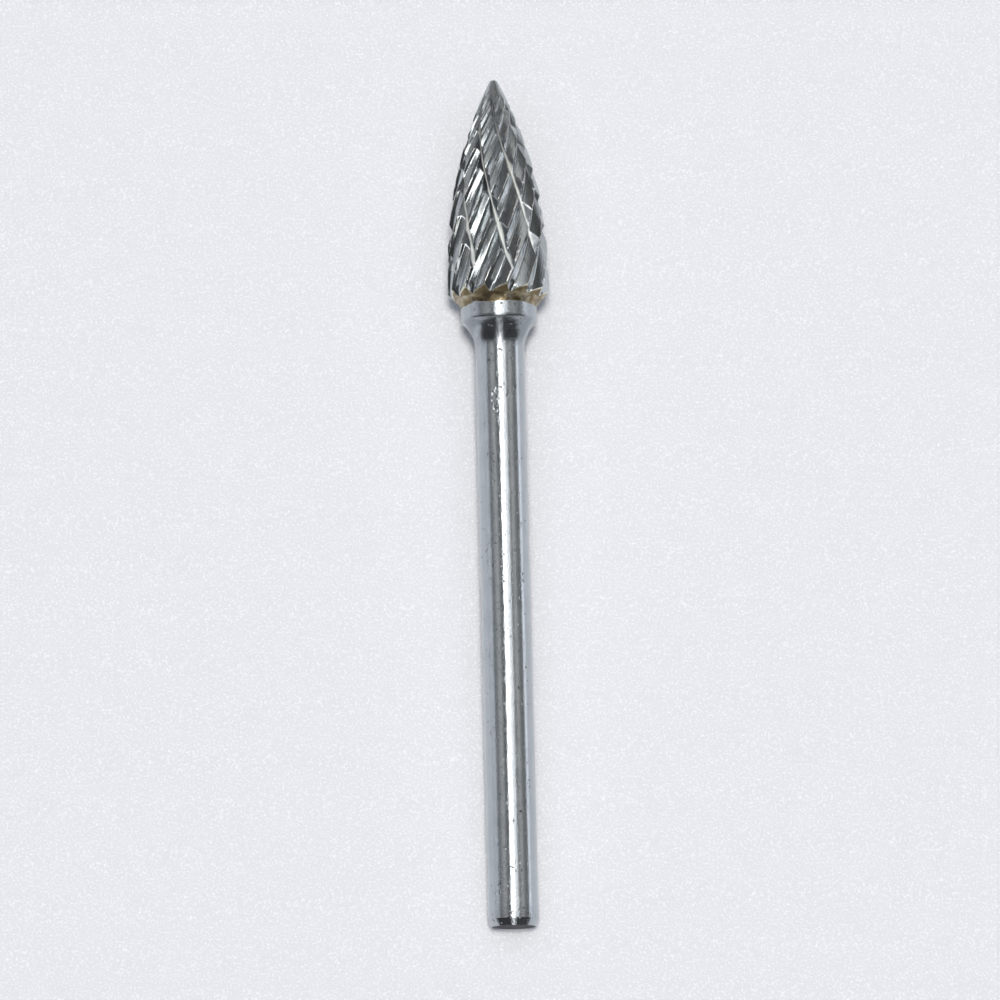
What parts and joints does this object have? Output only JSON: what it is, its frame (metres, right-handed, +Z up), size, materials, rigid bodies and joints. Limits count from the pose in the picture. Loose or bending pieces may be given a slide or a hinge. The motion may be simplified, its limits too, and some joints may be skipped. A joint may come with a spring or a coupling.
{
  "type": "carbide burr",
  "caption": "Pointed tree-shaped carbide burr with double-cut teeth, brazed to a slim steel shank with a collar, for a die grinder's collet.",
  "frame": {"origin": "centre of the shank's flat end face", "axes": "+Y along the tool's axis from the shank's end to the cutting tip, +Z up as it lies on a table, +X to the right seen from above with the tip pointing away"},
  "size_m": [0.0062, 0.052, 0.0062],
  "materials": {
    "tungsten_carbide": "polished ground carbide",
    "braze_filler": "dull, heat stained",
    "shank_steel": "bright ground"
  },
  "bodies": {
    "root": {"cutting_head": "tungsten_carbide", "braze_joint": "braze_filler", "shank": "shank_steel"}
  },
  "joints": []
}
